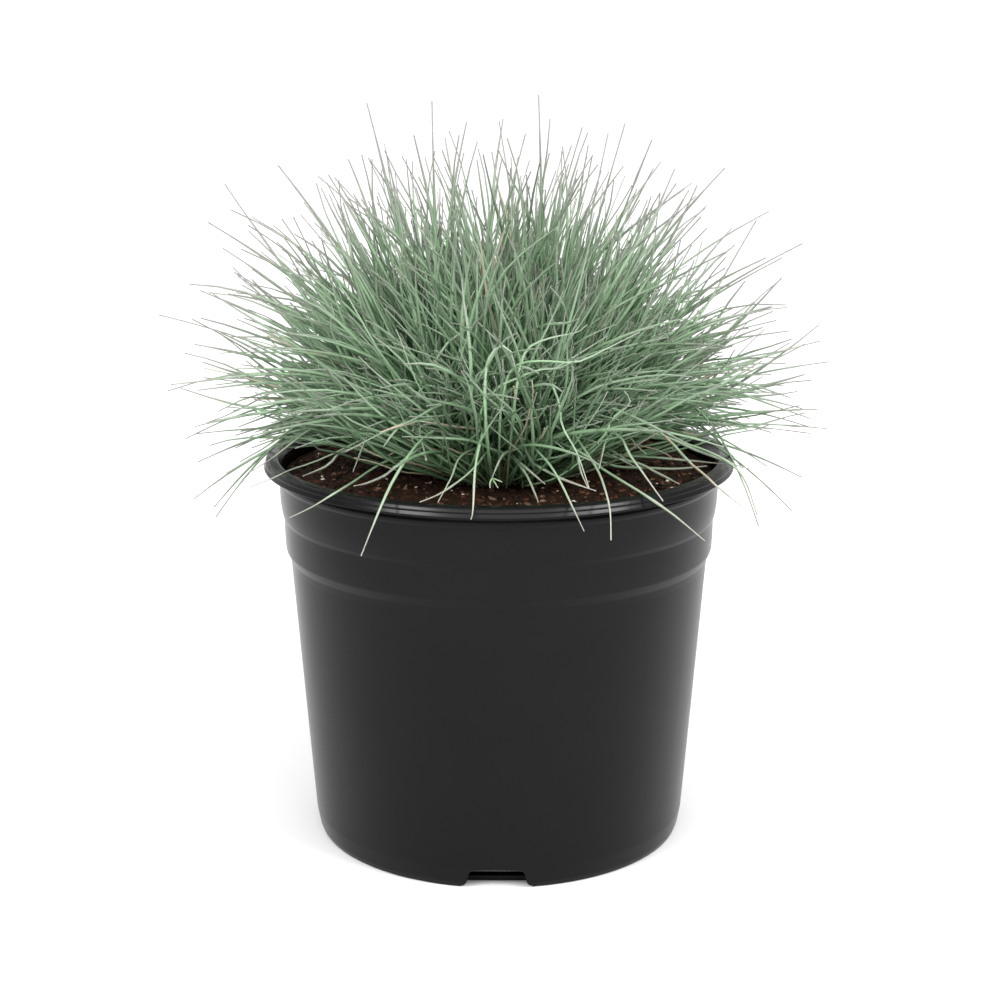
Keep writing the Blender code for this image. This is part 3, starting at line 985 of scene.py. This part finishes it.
# As they show in the picture: depths of the first and last place in mm, places in pixels.
front_paths = [
    (-32, -84, [(508, 449), (510, 426), (504, 405), (496, 393), (458, 401), (435, 407), (413, 420),
     (380, 434), (345, 452)]),
    (-45, -60, [(455, 452), (430, 430), (438, 393)]),
    (-30, -98, [(505, 440), (473, 424), (446, 426), (420, 441), (397, 474), (382, 504), (361, 556)]),
    (-30, -80, [(500, 437), (496, 439), (473, 469), (443, 492), (420, 502)]),
    (-30, -78, [(500, 440), (488, 443), (461, 456), (451, 478), (438, 502)]),
    (-30, -101, [(505, 445), (494, 410), (486, 420), (480, 443), (475, 469), (473, 509), (471, 519)]),
    (-30, -84, [(530, 450), (554, 423), (579, 420), (604, 430), (621, 438), (629, 454), (640, 469),
     (650, 483), (663, 501)]),
    (-30, -70, [(530, 430), (546, 406), (571, 400), (604, 406), (640, 420), (690, 445)]),
    (-35, -80, [(504, 456), (546, 451), (579, 451), (601, 468), (640, 492), (675, 516), (705, 541)]),
    (-30, -103, [(509, 426), (539, 453), (556, 474), (574, 510), (584, 531)]),
    (-50, -80, [(548, 440), (540, 400), (544, 371), (559, 403), (562, 426), (577, 453), (589, 488)]),
    (-40, -103, [(545, 445), (566, 426), (582, 446), (597, 469), (604, 486), (610, 510), (611, 540)]),
    (-45, -60, [(575, 445), (606, 431), (604, 446), (599, 469)]),
    (-70, -85, [(515, 400), (524, 355), (539, 342), (559, 336), (576, 333), (587, 325)]),
    (-66, -86, [(500, 420), (506, 383), (513, 368), (526, 362), (546, 361), (577, 362), (604, 350),
     (640, 332)]),
    (-62, -86, [(480, 420), (496, 390), (518, 378), (539, 370), (559, 368), (576, 360)]),
    (-70, -74, [(486, 425), (486, 370), (496, 348), (504, 346), (511, 352), (516, 372)]),
    (-50, -60, [(480, 445), (466, 420), (455, 401), (426, 385), (408, 413)]),
    (-55, -66, [(450, 430), (421, 426), (423, 446), (426, 461)]),
    (-62, -70, [(600, 440), (612, 419), (630, 403), (624, 391)]),
    (-35, -75, [(505, 448), (513, 458), (526, 474), (536, 496), (538, 502)]),
    (-35, -72, [(515, 450), (534, 464), (562, 479), (596, 491)]),
    (-45, -58, [(530, 447), (511, 451), (502, 456), (492, 478)]),
    (-20, -30, [(600, 440), (670, 440), (735, 467), (757, 515)]),
    (-22, -58, [(449, 452), (428, 452), (406, 456), (387, 461), (371, 470), (355, 481), (330, 496),
     (312, 507), (289, 518)]),
    (-20, -38, [(470, 440), (449, 405), (425, 414), (394, 430), (366, 438), (339, 451), (314, 462),
     (290, 470), (271, 479), (250, 487)]),
    (-20, -48, [(440, 440), (415, 409), (393, 410), (381, 419), (367, 438), (358, 459), (353, 472)]),
    (-20, -38, [(440, 455), (420, 452), (403, 451), (378, 446), (358, 440), (346, 431)]),
    (-12, -22, [(420, 440), (380, 410), (336, 421), (310, 430), (293, 442), (274, 457), (250, 472)]),
    (-20, -38, [(430, 450), (395, 441), (362, 446), (339, 454), (330, 464), (319, 470), (303, 476)]),
    (-25, -60, [(445, 460), (421, 461), (398, 465), (386, 475), (368, 483), (354, 486)]),
    (-35, -62, [(450, 447), (434, 425), (423, 429), (422, 440), (427, 461)]),
    (-20, -48, [(530, 440), (555, 404), (586, 399), (612, 407), (636, 418), (659, 432), (672, 443),
     (688, 461), (706, 476), (720, 489), (744, 508)]),
    (-20, -28, [(535, 445), (554, 424), (576, 419), (596, 424), (618, 429), (644, 432), (667, 437),
     (691, 448), (712, 456), (736, 465), (750, 469)]),
    (-25, -52, [(560, 445), (585, 422), (600, 418), (615, 424), (628, 435), (637, 446), (646, 454)]),
    (-20, -34, [(550, 455), (575, 455), (604, 463), (618, 467), (644, 468), (675, 469), (707, 466)]),
    (-12, -18, [(555, 452), (582, 452), (608, 454), (628, 456), (659, 458), (691, 461), (723, 464)]),
    (-22, -48, [(555, 452), (580, 448), (610, 457), (639, 464), (655, 472), (679, 484)]),
    (-35, -72, [(505, 448), (516, 459), (532, 473), (545, 484)]),
    (-35, -68, [(545, 440), (566, 435), (576, 453), (581, 472), (588, 488)]),
]
split_tip = [
    (-58, -60, [(492, 478), (497, 480), (502, 482)]),
    (-58, -60, [(492, 478), (495, 483), (498, 488)]),
    (-58, -60, [(492, 478), (490, 483), (490, 488)]),
]
laid_tree = laid_blades()
# Each: name, paths, width, how far the tips are bleached, least bloom (0 to 1).
laid_kinds = [
    ("long_blades", drawn_to(long_tips, 22 * MM, 0.7, 0, 5), 1.25 * MM, 0.05, 0.0),
    ("drooping_blades", drawn_to(drooping_tips, 30 * MM, 0.55, 12 * MM, 6), 1.15 * MM, 0.2, 0.0),
    ("sweeping_blades", drawn_to(sweeping_tips, 27 * MM, 0.3, 4 * MM, 8), 1.3 * MM, 0.3, 0.45),
    ("front_blades", drawn_as_seen(front_paths), 1.2 * MM, 1.0, 0.35),
    ("split_tip", drawn_as_seen(split_tip, rooted=False), 0.8 * MM, 1.0, 0.6),
]
for number, (name, drawn, width, bleached, least_tint) in enumerate(laid_kinds):
    sizes = {
        "Width": width, "Bleached": bleached, "Least Tint": least_tint, "Seed": 40 + number,
        "Material": leaf_finish,
    }
    blades = grown(name, laid_tree, sizes, source=blade_lines(name, drawn))
    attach(blades, "root")


# ---------------------------------------------------------------- studio
# A pale floor that runs into a white surround, soft light from above and from all sides,
# and the camera in front, a little above the pot.

floor_finish = Shading("pale_floor", roughness=0.8, specular=0.1)
_, floor_back, _ = floor_finish.split(floor_finish.place)
floor_tone = floor_finish.ramp(floor_finish.range(floor_back, -1.0, 1.0), [
    (position, (tone,) * 3) for position, tone in ((0.0, 0.55), (0.3, 0.6), (0.55, 0.66), (0.9, 0.95))
])
floor_bm = bmesh.new()
bmesh.ops.create_grid(floor_bm, x_segments=1, y_segments=1, size=20)
bmesh.ops.translate(floor_bm, verts=floor_bm.verts, vec=(0, 0, -0.2 * MM))
floor = object_of("studio_floor", floor_bm, floor_finish.finish(Base_Color=floor_tone))

world = bpy.data.worlds.new("white_surround")
world.use_nodes = True
surround = NodeTree(world.node_tree)
_, way_back, way_up = surround.split(surround.add("ShaderNodeTexCoord", {}, "Generated"))


def brightness(way, low, high, stops):
    """Brightness of the surround from low to high along one way, eased between its stops."""
    greys = [(position, (level,) * 3) for position, level in stops]
    return surround.ramp(surround.range(way, low, high), greys, "EASE")


round_about = brightness(way_back, -1, 1, [
    (0.0, 0.42), (0.25, 0.36), (0.5, 0.32), (0.7, 0.42), (0.9, 0.85), (0.96, 1.0),
])
overhead = surround.times(brightness(way_up, 0.35, 0.85, [(0.0, 0.0), (1.0, 1.0)]), 0.55)
glow = surround.times(surround.plus(overhead, round_about), 1.5)
backdrop = world.node_tree.nodes["Background"]
backdrop.inputs["Color"].default_value = (1, 1, 1, 1)
surround.tree.links.new(glow, backdrop.inputs["Strength"])
bpy.context.scene.world = world


def soft_light(name, place, aim, size, watts):
    light = bpy.data.lights.new(name, "AREA")
    light.shape = "RECTANGLE"
    light.size, light.size_y = size
    light.energy = watts
    lamp = bpy.data.objects.new(name, light)
    lamp.location = place
    lamp.rotation_euler = (Vector(place) - Vector(aim)).to_track_quat("Z", "Y").to_euler()
    lamp.visible_camera = False
    bpy.context.scene.collection.objects.link(lamp)


soft_light("left_softbox", (-0.85, -0.82, 0.95), (0, 0, 0.15), (0.5, 0.36), 16)
soft_light("right_softbox", (0.98, -0.74, 0.95), (0, 0, 0.15), (0.6, 0.36), 22)
soft_light("front_softbox", (0, -1.3, 0.9), (0, 0, 0.12), (1.6, 0.8), 13.5)

camera_data = bpy.data.cameras.new("camera")
camera_data.sensor_width = sensor_width
camera_data.lens = camera_lens
camera = bpy.data.objects.new("camera", camera_data)
camera.location = camera_place
camera.rotation_euler = (math.pi / 2 - camera_tilt, 0, 0)
bpy.context.scene.collection.objects.link(camera)
bpy.context.scene.camera = camera
bpy.context.scene.view_settings.view_transform = "Standard"
